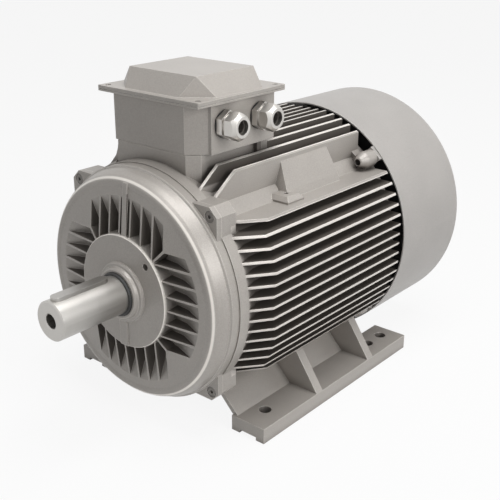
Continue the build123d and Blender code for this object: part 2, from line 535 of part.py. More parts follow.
def rear_bolts():
    flange_end = JOINT_REAR_Y + REAR_FLANGE_LENGTH
    bolts = []
    for angle in CORNERS:
        x, rise = polar(REAR_BOLT_POSITION, angle - 45)
        head = along(Pos(x, rise) * hexagon(REAR_BOLT_HEAD), flange_end, flange_end + REAR_BOLT_HEAD_HEIGHT)
        bolts.append(head + rod(REAR_BOLT_DIAMETER / 2, JOINT_REAR_Y - REAR_BOLT_GRIP, flange_end, x, rise))
    return Compound(children=bolts)


def bearing(name, front_y):
    """Deep groove ball bearing: two rings, balls and a cage, each its own node."""
    middle = front_y + BEARING_WIDTH / 2
    pitch_radius = (BEARING_BORE_RADIUS + BEARING_OUTER_RADIUS) / 2
    race = Pos(0, 0, SHAFT_HEIGHT) * revolve(
        Pos(pitch_radius, middle) * Circle(BALL_DIAMETER / 2 + BALL_CLEARANCE), Axis.Y)
    end_y = front_y + BEARING_WIDTH
    inner = ring(BEARING_BORE_RADIUS, pitch_radius - RING_SHOULDER_GAP / 2, front_y, end_y)
    outer = ring(pitch_radius + RING_SHOULDER_GAP / 2, BEARING_OUTER_RADIUS, front_y, end_y)
    cage = ring(pitch_radius - CAGE_THICKNESS / 2, pitch_radius + CAGE_THICKNESS / 2,
                middle - CAGE_WIDTH / 2, middle + CAGE_WIDTH / 2)
    balls = []
    for index in range(BALL_COUNT):
        x, rise = polar(pitch_radius, (index + 0.5) * 360 / BALL_COUNT)
        place = Pos(x, middle, SHAFT_HEIGHT + rise)
        balls.append(place * Sphere(BALL_DIAMETER / 2))
        cage -= place * Sphere(BALL_DIAMETER / 2 + CAGE_CLEARANCE)
    parts[name + "_bearing_inner_ring"] = inner - race
    parts[name + "_bearing_outer_ring"] = outer - race
    parts[name + "_bearing_balls"] = Compound(children=balls)
    parts[name + "_bearing_cage"] = cage


def bearing_circlip():
    """Open spring ring that holds the drive end bearing in its shield."""
    front = DRIVE_BEARING_Y + BEARING_WIDTH
    outer = BEARING_OUTER_RADIUS + CIRCLIP_DEPTH
    clip = Circle(outer) - Circle(BEARING_OUTER_RADIUS - CIRCLIP_DEPTH)
    clip -= Pos(0, -outer) * Rectangle(20, 20)
    return along(clip, front, front + CIRCLIP_THICKNESS)


def wave_spring():
    """Preload ring behind the fan end bearing, its waves drawn as a cone."""
    end_y = FAN_BEARING_Y + BEARING_WIDTH
    outer, inner = BEARING_OUTER_RADIUS - 1, BEARING_OUTER_RADIUS - 8
    return spin([(outer, end_y), (outer, end_y + SPRING_THICKNESS),
                 (inner, end_y + SPRING_GAP), (inner, end_y + SPRING_GAP - SPRING_THICKNESS)])


def slot_section(count, radius, width, depth):
    """Radial slots, each drawn outwards from the given radius."""
    slot = Pos(radius + depth / 2, 0) * Rectangle(depth, width)
    return joined([Rot(0, 0, index * 360 / count) * slot for index in range(count)])


def stator_core():
    mouth = slot_section(STATOR_SLOTS, STATOR_INNER_RADIUS - 1, SLOT_MOUTH, 3)
    slots = slot_section(STATOR_SLOTS, STATOR_INNER_RADIUS + 1.5, STATOR_SLOT_WIDTH, STATOR_SLOT_DEPTH)
    sheet = Circle(BORE_RADIUS) - Circle(STATOR_INNER_RADIUS) - mouth - slots
    return along(sheet, CORE_FRONT_Y, CORE_REAR_Y)


def stator_windings():
    slots = slot_section(STATOR_SLOTS, STATOR_INNER_RADIUS + 1.5, STATOR_SLOT_WIDTH, STATOR_SLOT_DEPTH)
    inner = STATOR_INNER_RADIUS + 3
    coils = along(slots, CORE_FRONT_Y, CORE_REAR_Y)
    for near, direction in ((CORE_FRONT_Y, -1), (CORE_REAR_Y, 1)):
        far = near + direction * WINDING_OVERHANG
        coils += spin([(inner, near), (inner + 4, far), (WINDING_OUTER_RADIUS - 10, far),
                       (WINDING_OUTER_RADIUS, far - direction * 12), (WINDING_OUTER_RADIUS - 16, near)])
    return coils


def rotor_radius():
    return STATOR_INNER_RADIUS - AIR_GAP


def rotor_core():
    bars = slot_section(ROTOR_BARS, rotor_radius() - ROTOR_BRIDGE - ROTOR_BAR_DEPTH, ROTOR_BAR_WIDTH, ROTOR_BAR_DEPTH)
    sheet = Circle(rotor_radius()) - Circle(CORE_SEAT_RADIUS) - bars
    return along(sheet, CORE_FRONT_Y, CORE_REAR_Y)


def rotor_cage():
    bars = slot_section(ROTOR_BARS, rotor_radius() - ROTOR_BRIDGE - ROTOR_BAR_DEPTH, ROTOR_BAR_WIDTH, ROTOR_BAR_DEPTH)
    cage = along(bars, CORE_FRONT_Y, CORE_REAR_Y)
    outer = rotor_radius() - ROTOR_BRIDGE
    cage += ring(END_RING_INNER_RADIUS, outer, CORE_FRONT_Y - END_RING_LENGTH, CORE_FRONT_Y)
    cage += ring(END_RING_INNER_RADIUS, outer, CORE_REAR_Y, CORE_REAR_Y + END_RING_LENGTH)
    return cage


def shaft():
    chamfer_size = 2.0
    bearing_end = FAN_BEARING_Y + BEARING_WIDTH
    fan_end = FAN_FRONT_Y + FAN_SEAT_LENGTH
    body = spin([
        (0, SHAFT_TIP_Y), (SHAFT_END_RADIUS - chamfer_size, SHAFT_TIP_Y),
        (SHAFT_END_RADIUS, SHAFT_TIP_Y + chamfer_size), (SHAFT_END_RADIUS, SHOULDER_Y),
        (BEARING_BORE_RADIUS, SHOULDER_Y),
        (BEARING_BORE_RADIUS, DRIVE_BEARING_Y + BEARING_WIDTH), (BEARING_BORE_RADIUS + 6, DRIVE_BEARING_Y + BEARING_WIDTH),
        (BEARING_BORE_RADIUS + 6, CORE_FRONT_Y - 30), (CORE_SEAT_RADIUS, CORE_FRONT_Y - 30),
        (CORE_SEAT_RADIUS, CORE_REAR_Y), (BEARING_BORE_RADIUS + 6, CORE_REAR_Y),
        (BEARING_BORE_RADIUS + 6, FAN_BEARING_Y), (BEARING_BORE_RADIUS, FAN_BEARING_Y),
        (BEARING_BORE_RADIUS, bearing_end + SEAT_LIP + 7), (FAN_SEAT_RADIUS, bearing_end + SEAT_LIP + 7),
        (FAN_SEAT_RADIUS, fan_end - 1), (FAN_SEAT_RADIUS - 1, fan_end), (0, fan_end)])
    body -= key_solid(KEY_LENGTH)
    tap = CENTRE_HOLE_DIAMETER / 2
    body -= rod(tap, SHAFT_TIP_Y, SHAFT_TIP_Y + CENTRE_HOLE_DEPTH)
    sink = CENTRE_SINK_DIAMETER / 2
    body -= spin([(0, SHAFT_TIP_Y), (sink, SHAFT_TIP_Y), (tap, SHAFT_TIP_Y + sink - tap), (0, SHAFT_TIP_Y + sink - tap)])
    body -= fan_key()
    clip_y = FAN_FRONT_Y + FAN_HUB_LENGTH
    return body - ring(FAN_SEAT_RADIUS - 1.5, FAN_SEAT_RADIUS + 1, clip_y, clip_y + 2)


def key_solid(length):
    """Round-ended parallel key on top of the shaft end."""
    bottom = SHAFT_HEIGHT + SHAFT_END_RADIUS - KEYWAY_DEPTH
    middle = SHAFT_TIP_Y + KEY_END_GAP + length / 2
    plan = Pos(0, middle) * Rot(0, 0, 90) * SlotOverall(length, KEY_WIDTH)
    return upright(plan, bottom, bottom + KEY_HEIGHT)


def fan_key():
    bottom = SHAFT_HEIGHT + FAN_SEAT_RADIUS - FAN_KEY_HEIGHT / 2
    return block(-FAN_KEY_WIDTH / 2, FAN_KEY_WIDTH / 2, FAN_FRONT_Y + 2, FAN_FRONT_Y + 2 + FAN_KEY_LENGTH,
                 bottom, bottom + FAN_KEY_HEIGHT)


def fan_circlip():
    clip_y = FAN_FRONT_Y + FAN_HUB_LENGTH
    clip = Circle(FAN_SEAT_RADIUS + 4) - Circle(FAN_SEAT_RADIUS - 1.5)
    clip -= Pos(0, -FAN_SEAT_RADIUS - 2) * Rectangle(14, 12)
    return along(clip, clip_y, clip_y + 2)


def shaft_seal():
    """Rubber ring over the shaft's shoulder, turning in the shield's bore."""
    front, rear = SHOULDER_Y - SHAFT_SEAL_FRONT, SHOULDER_Y - SHAFT_SEAL_FRONT + SHAFT_SEAL_LENGTH
    outer = SHAFT_SEAL_RADIUS
    return spin([(SHAFT_END_RADIUS, front), (outer - 1, front), (outer, front + 2), (outer, rear),
                 (BEARING_BORE_RADIUS, rear), (BEARING_BORE_RADIUS, SHOULDER_Y), (SHAFT_END_RADIUS, SHOULDER_Y)])


def v_ring():
    """Rubber lip ring that turns with the shaft and faces the fan end shield."""
    inner, outer = BEARING_BORE_RADIUS, V_RING_RADIUS
    start = FAN_BEARING_Y + BEARING_WIDTH + SEAT_LIP + V_RING_GAP
    return spin([(inner, start + V_RING_LENGTH), (outer - 1, start + V_RING_LENGTH), (outer - 2, start + 3),
                 (outer, start), (inner, start + 3)])


def cooling_fan():
    disc_y = FAN_FRONT_Y + 3
    fan = ring(FAN_SEAT_RADIUS, FAN_HUB_RADIUS, FAN_FRONT_Y, FAN_FRONT_Y + FAN_HUB_LENGTH)
    fan += spin([(FAN_HUB_RADIUS - 1, disc_y), (FAN_RADIUS, disc_y), (FAN_RADIUS, disc_y + FAN_DISC_THICKNESS),
                 (FAN_HUB_RADIUS - 1, disc_y + FAN_DISC_THICKNESS + 3)])
    blade_side = polygon((FAN_HUB_RADIUS - 2, disc_y + 1), (FAN_RADIUS - 2, disc_y + 1),
                         (FAN_RADIUS - 2, disc_y + FAN_BLADE_WIDTH), (FAN_RADIUS - 50, disc_y + FAN_BLADE_WIDTH),
                         (FAN_HUB_RADIUS - 2, FAN_FRONT_Y + FAN_HUB_LENGTH))
    blade = extrude(Pos(0, 0, -FAN_BLADE_THICKNESS / 2) * blade_side, amount=FAN_BLADE_THICKNESS)
    for index in range(FAN_BLADE_COUNT):
        fan += Pos(0, 0, SHAFT_HEIGHT) * Rot(0, index * 360 / FAN_BLADE_COUNT, 0) * blade
    fan -= rod(FAN_SEAT_RADIUS, FAN_FRONT_Y, FAN_FRONT_Y + FAN_HUB_LENGTH)
    return fan - fan_key()


def grille_section():
    """Ring-shaped air slots of the cowl, broken by straight spokes."""
    step = (GRILLE_OUTER_RADIUS - GRILLE_HUB_RADIUS) / GRILLE_RINGS
    slots = []
    for index in range(GRILLE_RINGS):
        inner = GRILLE_HUB_RADIUS + index * step + GRILLE_BAR
        slots.append(Circle(GRILLE_HUB_RADIUS + (index + 1) * step) - Circle(inner))
    section = joined(slots)
    for index in range(GRILLE_SPOKES):
        spoke = Pos(GRILLE_OUTER_RADIUS / 2, 0) * Rectangle(GRILLE_OUTER_RADIUS + 10, GRILLE_BAR + 3)
        section -= Rot(0, 0, 30 + index * 360 / GRILLE_SPOKES) * spoke
    return section


def fan_cowl():
    inner, round_radius = COWL_RADIUS - COWL_WALL, COWL_EDGE_ROUND
    outline = FilletPolyline(
        (0, COWL_REAR_Y), (COWL_RADIUS, COWL_REAR_Y), (COWL_RADIUS, COWL_FRONT_Y), (inner, COWL_FRONT_Y),
        (inner, COWL_REAR_Y - COWL_WALL), (0, COWL_REAR_Y - COWL_WALL),
        radius=(round_radius, 0.4, 0.4, round_radius - COWL_WALL))
    closing = Line((0, COWL_REAR_Y - COWL_WALL), (0, COWL_REAR_Y))
    cowl = Pos(0, 0, SHAFT_HEIGHT) * revolve(make_face(outline + closing), Axis.Y)
    cowl -= along(grille_section(), COWL_REAR_Y - 2 * COWL_WALL, COWL_REAR_Y)
    half = COWL_TAB_WIDTH / 2
    foot_plate = Pos((COWL_TAB_INNER_RADIUS + inner) / 2, 0) * Rectangle(inner - COWL_TAB_INNER_RADIUS, 2 * half)
    for angle in CORNERS:
        tab = along(Rot(0, 0, angle) * foot_plate, JOINT_REAR_Y, JOINT_REAR_Y + COWL_WALL)
        tongue = Pos(inner - COWL_WALL, 0) * Rectangle(2 * COWL_WALL + 0.6, 2 * half)
        tab += along(Rot(0, 0, angle) * tongue, JOINT_REAR_Y, COWL_FRONT_Y + 16)
        tab = tab & rod(COWL_RADIUS - COWL_WALL / 2, JOINT_REAR_Y, COWL_FRONT_Y + 16)
        x, rise = polar(COWL_SCREW_POSITION, angle)
        cowl += tab - rod(COWL_SCREW_DIAMETER / 2, JOINT_REAR_Y, JOINT_REAR_Y + COWL_WALL, x, rise)
    return cowl


def cowl_screws():
    """Socket head screws sunk in the frame's rear bosses, and the nuts on the cowl's tabs."""
    seat = COWL_SCREW_SEAT_Y
    front = seat - COWL_SCREW_HEAD_HEIGHT
    nut_y = JOINT_REAR_Y + COWL_WALL
    screws, nuts = [], []
    for angle in CORNERS:
        x, rise = polar(COWL_SCREW_POSITION, angle)
        head = rod(COWL_SCREW_HEAD / 2, front, seat, x, rise)
        head -= along(Pos(x, rise) * hexagon(COWL_SCREW_SOCKET), front, front + COWL_SCREW_HEAD_HEIGHT / 2)
        screws.append(head + rod(COWL_SCREW_DIAMETER / 2, seat, nut_y + NUT_HEIGHT + 2, x, rise))
        nut = Pos(x, rise) * (hexagon(COWL_NUT_WIDTH) - Circle(COWL_SCREW_DIAMETER / 2))
        nuts.append(along(nut, nut_y, nut_y + NUT_HEIGHT))
    return Compound(children=screws), Compound(children=nuts)


def box_plan(inset=0.0):
    """Plan of the terminal box: one corner is cut beside the gland face."""
    x, front, rear, cut = BOX_HALF_WIDTH - inset, BOX_FRONT_Y + inset, BOX_REAR_Y - inset, BOX_CHAMFER
    cut -= inset * (2 - sqrt(2))
    plan = polygon((-x, front), (x - cut, front), (x, front + cut), (x, rear), (-x, rear))
    square_corners = [v for v in plan.vertices() if v.X < 0 or v.Y > -100]
    return fillet(square_corners, BOX_CORNER_ROUND)


def box_screw_places():
    x = NECK_HALF_WIDTH - BOX_SCREW_INSET
    return [(sx * x, y) for sx in (-1, 1) for y in (-145.0, BOX_REAR_Y - BOX_SCREW_INSET)]


def box_screw_depth():
    return BOX_SCREW_GRIP - BOX_FLOOR


def lid_screw_places():
    x = LID_HALF_WIDTH - LID_SCREW_INSET
    front = BOX_FRONT_Y - LID_OVERHANG_FRONT + LID_SCREW_INSET
    rear = BOX_REAR_Y + LID_OVERHANG_REAR - LID_SCREW_INSET
    return [(sx * x, y) for sx in (-1, 1) for y in (front, rear)]


def lid_plan(inset=0.0):
    depth = BOX_REAR_Y + LID_OVERHANG_REAR - BOX_FRONT_Y + LID_OVERHANG_FRONT
    middle = (BOX_REAR_Y + LID_OVERHANG_REAR + BOX_FRONT_Y - LID_OVERHANG_FRONT) / 2
    return Pos(0, middle) * RectangleRounded(2 * (LID_HALF_WIDTH - inset), depth - 2 * inset, 2)


def terminal_box():
    body = upright(box_plan(), BOX_BOTTOM_Z, BOX_RIM_Z) + upright(lid_plan(), BOX_RIM_Z, BOX_TOP_Z)
    pad_front = BOX_FRONT_Y + BOX_CHAMFER
    body += block(BOX_HALF_WIDTH - 1, BOX_HALF_WIDTH + PAD_REACH, pad_front, BOX_REAR_Y, BOX_BOTTOM_Z, BOX_RIM_Z)
    body -= upright(box_plan(BOX_WALL), BOX_BOTTOM_Z + BOX_FLOOR, BOX_TOP_Z)
    for x, y in lid_screw_places():
        body -= upright(Pos(x, y) * Circle(LID_SCREW_DIAMETER / 2), BOX_RIM_Z, BOX_TOP_Z)
    passage_front = BOX_FRONT_Y + NECK_WALL
    body -= block(-LEAD_PASSAGE_HALF_WIDTH, LEAD_PASSAGE_HALF_WIDTH, passage_front,
                  passage_front + LEAD_PASSAGE_LENGTH, BOX_BOTTOM_Z, BOX_BOTTOM_Z + BOX_FLOOR)
    for x, y in box_screw_places():
        body -= upright(Pos(x, y) * Circle(BOX_SCREW_DIAMETER / 2), BOX_BOTTOM_Z, BOX_BOTTOM_Z + BOX_FLOOR)
    for y in GLAND_YS:
        body -= Pos(0, y, GLAND_Z) * tube_x(GLAND_THREAD_RADIUS, 0, BOX_HALF_WIDTH + PAD_REACH)
    return body


def terminal_box_gasket():
    passage = Pos(0, BOX_FRONT_Y + NECK_WALL + LEAD_PASSAGE_LENGTH / 2) * Rectangle(
        2 * LEAD_PASSAGE_HALF_WIDTH, LEAD_PASSAGE_LENGTH)
    sheet = (box_plan(0.2) & neck_plan(0.2)) - passage
    for x, y in box_screw_places():
        sheet -= Pos(x, y) * Circle(BOX_SCREW_DIAMETER / 2)
    return upright(sheet, NECK_TOP_Z, BOX_BOTTOM_Z)


def lid_gasket():
    sheet = lid_plan(0.8) - box_plan(BOX_WALL)
    for x, y in lid_screw_places():
        sheet -= Pos(x, y) * Circle(LID_SCREW_DIAMETER / 2)
    return upright(sheet, BOX_TOP_Z, BOX_TOP_Z + LID_GASKET_THICKNESS)


def hip(wall, bottom, top):
    """Low hipped rise: an eight-sided base, a rectangular crown and a triangle at each corner."""
    front, rear = BOX_FRONT_Y - LID_OVERHANG_FRONT, BOX_REAR_Y + LID_OVERHANG_REAR
    x, edge = LID_HIP_BASE[0] - wall, LID_HIP_BASE[1] + wall
    cut_x, cut_y = LID_HIP_CORNER
    base = [(x - cut_x, front + edge), (x, front + edge + cut_y), (x, rear - edge - cut_y), (x - cut_x, rear - edge)]
    base = base + [(-a, b) for a, b in reversed(base)]
    x, edge = LID_HIP_TOP[0] - wall, LID_HIP_TOP[1] + wall
    crown = [(x, front + edge), (x, rear - edge)]
    crown = crown + [(-a, b) for a, b in reversed(crown)]
    low = [(a, b, bottom) for a, b in base]
    high = [(a, b, top) for a, b in crown]
    rings = [low, high]
    for side in range(4):
        a, b, c = 2 * side, 2 * side + 1, (2 * side + 2) % 8
        rings.append([low[a], low[b], high[side]])
        rings.append([low[b], low[c], high[(side + 1) % 4], high[side]])
    return Solid(Shell([Face(Wire.make_polygon(points)) for points in rings]))


def terminal_box_lid():
    bottom = BOX_TOP_Z + LID_GASKET_THICKNESS
    plate_top = bottom + LID_PLATE
    lid = upright(lid_plan(), bottom, plate_top)
    lid += hip(0, plate_top - 0.5, plate_top + LID_HIP_HEIGHT)
    lid -= upright(box_plan(BOX_WALL), bottom, plate_top - LID_PLATE / 2)
    lid -= hip(LID_WALL, plate_top - LID_PLATE - 0.5, plate_top + LID_HIP_HEIGHT - LID_WALL) & upright(
        box_plan(BOX_WALL), bottom, plate_top + LID_HIP_HEIGHT)
    for x, y in lid_screw_places():
        lid -= upright(Pos(x, y) * Circle(LID_SCREW_DIAMETER / 2), bottom, plate_top)
        lid -= upright(Pos(x, y) * Circle(LID_SINK_DIAMETER / 2), plate_top - LID_SINK_DEPTH, plate_top)
    return lid


def lid_screws():
    seat = BOX_TOP_Z + LID_GASKET_THICKNESS + LID_PLATE - LID_SINK_DEPTH
    top = seat + LID_SCREW_HEAD_HEIGHT
    screws = []
    for x, y in lid_screw_places():
        head = upright(Pos(x, y) * Circle(LID_SCREW_HEAD / 2), seat, top)
        head -= upright(Pos(x, y) * hexagon(2.5), top - LID_SCREW_HEAD_HEIGHT / 2, top)
        screws.append(head + upright(Pos(x, y) * Circle(LID_SCREW_DIAMETER / 2), BOX_RIM_Z, seat))
    return Compound(children=screws)


def terminal_box_screws():
    seat = BOX_BOTTOM_Z + BOX_FLOOR
    screws = []
    for x, y in box_screw_places():
        head = upright(Pos(x, y) * Circle(BOX_SCREW_HEAD / 2), seat, seat + BOX_SCREW_HEAD_HEIGHT)
        head -= upright(Pos(x, y) * hexagon(6.0), seat + BOX_SCREW_HEAD_HEIGHT - 4, seat + BOX_SCREW_HEAD_HEIGHT)
        bottom = NECK_TOP_Z - box_screw_depth()
        screws.append(head + upright(Pos(x, y) * Circle(BOX_SCREW_DIAMETER / 2), bottom, seat))
    return Compound(children=screws)


def glands():
    """Both cable glands, split into their five kinds of piece."""
    face_x = BOX_HALF_WIDTH + PAD_REACH
    hex_x = face_x + GASKET_THICKNESS
    neck_x = hex_x + GLAND_HEX_LENGTH
    cap_x = neck_x + GLAND_NECK_LENGTH
    cap_end = cap_x + GLAND_CAP_LENGTH
    thread_x = face_x - GLAND_THREAD_LENGTH
    seal_outer = GLAND_SEAL_RADIUS + GLAND_SEAL_WALL
    bodies, gaskets, caps, seals, locknuts = [], [], [], [], []
    for y in GLAND_YS:
        body = tube_x(GLAND_THREAD_RADIUS, thread_x, hex_x) + prism_x(hexagon(GLAND_HEX_WIDTH), hex_x, neck_x)
        body += tube_x(GLAND_NECK_RADIUS, neck_x, cap_end - GLAND_CAP_NOSE)
        body -= tube_x(seal_outer, thread_x, cap_end)
        bodies.append(Pos(0, y, GLAND_Z) * body)
        gasket = tube_x(GLAND_GASKET_RADIUS, face_x, hex_x) - tube_x(GLAND_THREAD_RADIUS, face_x, hex_x)
        gaskets.append(Pos(0, y, GLAND_Z) * gasket)
        cap = prism_x(hexagon(GLAND_CAP_WIDTH), cap_x, cap_end)
        corner = GLAND_CAP_WIDTH / sqrt(3)
        cone = Pos(cap_end - GLAND_CAP_NOSE, 0, 0) * Rot(0, 90, 0) * Cone(
            corner, GLAND_OPENING_RADIUS + 4, GLAND_CAP_NOSE, align=(Align.CENTER, Align.CENTER, Align.MIN))
        cap = cap & (tube_x(corner, cap_x, cap_end - GLAND_CAP_NOSE) + cone)
        cap -= tube_x(GLAND_NECK_RADIUS, cap_x, cap_end - GLAND_CAP_NOSE)
        cap -= tube_x(GLAND_OPENING_RADIUS, cap_x, cap_end)
        caps.append(Pos(0, y, GLAND_Z) * cap)
        seal_end = cap_end - GLAND_CAP_NOSE
        seal = tube_x(seal_outer, neck_x, seal_end) - tube_x(GLAND_SEAL_RADIUS, neck_x, seal_end)
        seals.append(Pos(0, y, GLAND_Z) * seal)
        nut_x = BOX_HALF_WIDTH - BOX_WALL
        locknut = prism_x(hexagon(GLAND_HEX_WIDTH), nut_x - 5, nut_x) - tube_x(GLAND_THREAD_RADIUS, nut_x - 5, nut_x)
        locknuts.append(Pos(0, y, GLAND_Z) * locknut)
    names = ("gland_bodies", "gland_gaskets", "gland_cap_nuts", "gland_seals", "gland_locknuts")
    for name, group in zip(names, (bodies, gaskets, caps, seals, locknuts)):
        parts[name] = Compound(children=group)


def tube_x(radius, x0, x1):
    return prism_x(Circle(radius), x0, x1)


def prism_x(sketch, x0, x1):
    """Extrude a section along X, its flats up."""
    return extrude(Pos(x0, 0, 0) * Rot(0, 90, 0) * sketch, amount=x1 - x0)


def board_centre():
    y = (BOX_FRONT_Y + NECK_WALL + LEAD_PASSAGE_LENGTH + BOX_REAR_Y - BOX_WALL) / 2
    return 0.0, y, BOX_BOTTOM_Z + BOX_FLOOR + BOARD_LIFT


def stud_places():
    x0, y0, _ = board_centre()
    return [(x0 + i * STUD_PITCH_X, y0 + j * STUD_PITCH_Y / 2) for j in (-1, 1) for i in (-1, 0, 1)]


def terminal_board():
    x0, y0, bottom = board_centre()
    board = upright(Pos(x0, y0) * RectangleRounded(BOARD_LENGTH, BOARD_WIDTH, 5), bottom, bottom + BOARD_THICKNESS)
    feet = [Pos(x0 + sx * (BOARD_LENGTH / 2 - 8), y0) * Circle(6) for sx in (-1, 1)]
    board += upright(feet[0] + feet[1], bottom - BOARD_LIFT, bottom)
    for x, y in stud_places():
        board -= Pos(x, y, bottom) * Cylinder(STUD_RADIUS, 4 * BOARD_THICKNESS)
    return board


def terminal_studs():
    bottom = board_centre()[2]
    top = bottom + BOARD_THICKNESS
    studs = []
    for x, y in stud_places():
        stud = upright(Pos(x, y) * Circle(STUD_RADIUS), bottom, top + STUD_HEIGHT)
        nut_z = top + LINK_THICKNESS
        studs.append(stud + upright(Pos(x, y) * hexagon(STUD_NUT_WIDTH), nut_z, nut_z + STUD_NUT_HEIGHT))
    return Compound(children=studs)


def terminal_links():
    """Three brass bars that join the stud pairs."""
    top = board_centre()[2] + BOARD_THICKNESS
    y0 = board_centre()[1]
    links = []
    for x, y in stud_places()[:3]:
        plan = Pos(x, y0) * RectangleRounded(LINK_WIDTH, STUD_PITCH_Y + LINK_WIDTH, 5)
        plan -= Pos(x, y0 - STUD_PITCH_Y / 2) * Circle(STUD_RADIUS)
        plan -= Pos(x, y0 + STUD_PITCH_Y / 2) * Circle(STUD_RADIUS)
        links.append(upright(plan, top, top + LINK_THICKNESS))
    return Compound(children=links)


def earth_screw():
    x, y = -BOX_HALF_WIDTH + BOX_WALL + 12, BOX_FRONT_Y + NECK_WALL + 14
    seat = BOX_BOTTOM_Z + BOX_FLOOR
    return upright(Pos(x, y) * hexagon(13), seat, seat + 5.5) + upright(Pos(x, y) * Circle(8), seat, seat + 1.6)


parts["stator_frame"] = stator_frame()
parts["foot_right"] = foot()
parts["foot_left"] = mirrored(parts["foot_right"])
parts["stator_core"] = stator_core()
parts["stator_windings"] = stator_windings()
parts["drive_end_shield"] = drive_end_shield()
parts["drive_end_shield_bolts"] = ear_bolts()
parts["fan_end_shield"] = fan_end_shield()
parts["fan_end_shield_bolts"] = rear_bolts()
bearing("drive_end", DRIVE_BEARING_Y)
bearing("fan_end", FAN_BEARING_Y)
parts["bearing_circlip"] = bearing_circlip()
parts["bearing_wave_spring"] = wave_spring()
parts["shaft"] = shaft()
parts["drive_key"] = key_solid(KEY_LENGTH)
parts["rotor_core"] = rotor_core()
parts["rotor_cage"] = rotor_cage()
parts["drive_end_seal"] = shaft_seal()
parts["fan_end_v_ring"] = v_ring()
parts["cooling_fan"] = cooling_fan()
parts["fan_key"] = fan_key()
parts["fan_circlip"] = fan_circlip()
parts["fan_cowl"] = fan_cowl()
parts["cowl_screws"], parts["cowl_nuts"] = cowl_screws()
parts["terminal_box"] = terminal_box()
parts["terminal_box_gasket"] = terminal_box_gasket()
parts["terminal_box_screws"] = terminal_box_screws()
parts["terminal_box_lid"] = terminal_box_lid()
parts["lid_gasket"] = lid_gasket()
parts["lid_screws"] = lid_screws()
glands()
parts["terminal_board"] = terminal_board()
parts["terminal_studs"] = terminal_studs()
parts["terminal_links"] = terminal_links()
parts["earth_screw"] = earth_screw()

os.makedirs("parts", exist_ok=True)
for name, shape in parts.items():
    export_step(shape, os.path.join("parts", name + ".step"))
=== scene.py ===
"""Looks of the foot-mounted motor: camera, light, finishes and a cast fillet behind the ring."""

import bpy
from math import cos, radians, sin
from mathutils import Matrix, Vector


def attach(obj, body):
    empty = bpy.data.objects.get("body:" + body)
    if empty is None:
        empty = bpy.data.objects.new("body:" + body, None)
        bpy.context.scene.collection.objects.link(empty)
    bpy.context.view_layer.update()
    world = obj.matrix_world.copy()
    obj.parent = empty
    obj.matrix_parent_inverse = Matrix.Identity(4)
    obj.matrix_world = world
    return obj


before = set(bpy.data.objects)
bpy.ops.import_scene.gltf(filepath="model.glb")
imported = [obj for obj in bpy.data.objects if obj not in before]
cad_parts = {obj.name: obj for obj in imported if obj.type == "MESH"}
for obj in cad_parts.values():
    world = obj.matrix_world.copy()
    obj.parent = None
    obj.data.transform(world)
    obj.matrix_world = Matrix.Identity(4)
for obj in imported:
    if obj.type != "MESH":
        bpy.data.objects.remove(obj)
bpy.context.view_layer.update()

# where features of the castings lie, in metres: x across, y along the shaft, z up from the floor
SHAFT_HEIGHT = 0.200
FIN_SPAN = 0.109
FIN_START, FIN_END = -0.203, 0.142
TOP_FIN_SPAN, TOP_FIN_FOOT = 0.101, 0.352
NECK_SIDE, NECK_REAR = 0.0745, -0.0485
# the shield's pockets, whose rib side faces get painted shade, and its rim crest and hub edge, which get
# painted highlights: radius, front y and band widths
POCKET_RADII = (0.083, 0.140)
POCKET_DEPTHS = (-0.267, -0.240)
RIM_CREST, RIM_FRONT, RIM_WIDTHS = 0.1566, -0.252, (0.0022, 0.0008)
HUB_EDGE, HUB_FRONT, HUB_WIDTHS = 0.0810, -0.266, (0.0009, 0.0004)

# fillet behind the ring: radius and y of its section, then in degrees its start, left of straight up,
# and its sweep from there, further down the left side
ROOT_PROFILE = ((0.1700, -0.2055), (0.1712, -0.2055), (0.1758, -0.1985), (0.1700, -0.1985))
ROOT_START, ROOT_SWEEP = -26, 48
ROOT_STEPS = 48

# widths over which masks fade, and the groove widths that count as recessed and get painted shade
SIDE_FADE, END_FADE, FRONT_FADE, FOOT_FADE = 0.0005, 0.001, 0.002, 0.004
GROOVE_REACH, CORNER_REACH = 0.024, 0.008
# how much shade is painted at how open a place is
RECESS_SHADE_TONES = ((0.18, 0.85), (0.72, 0))

CAST_GREY = (0.36, 0.334, 0.308)
# lighter grey of rubbed paint edges and grain; made lighter still in cast_paint, it is also the painted
# highlight on fin tip edges and crests
RUBBED_AND_HIGHLIGHT_GREY = (0.70, 0.665, 0.62)
# dark grey painted in as shade in the fin gaps, in recessed places and on the shield's rib side faces
PAINTED_SHADE_GREY = (0.066, 0.056, 0.047)

# camera, worked out from the photograph
CAMERA_PLACE = (0.816, -0.970, 0.681)
CAMERA_AZIMUTH = 40.03
CAMERA_ELEVATION = 21.52
CAMERA_ROLL = 0.31
CAMERA_LENS = 61.4
CAMERA_SENSOR = 36.0
CAMERA_FAR_LIMIT = 50

SURROUND_STRENGTH = 0.17
FLOOR_SIZE, FLOOR_DROP = 60, 0.0005
PAPER_GREY, PAPER_GLOW = 0.7, 0.9
LAMPS = (  # name, place, what it points at, size, watts
    ("top_lamp", (0.5, 0.0, 2.6), (0, 0, 0.2), (1.6, 1.6), 51),
    ("right_lamp", (2.5, -0.2, 1.3), (0, 0, 0.25), (1.2, 1.2), 32),
    ("front_lamp", (0.2, -2.8, 1.0), (0, -0.2, 0.2), (1.4, 1.0), 1),
)


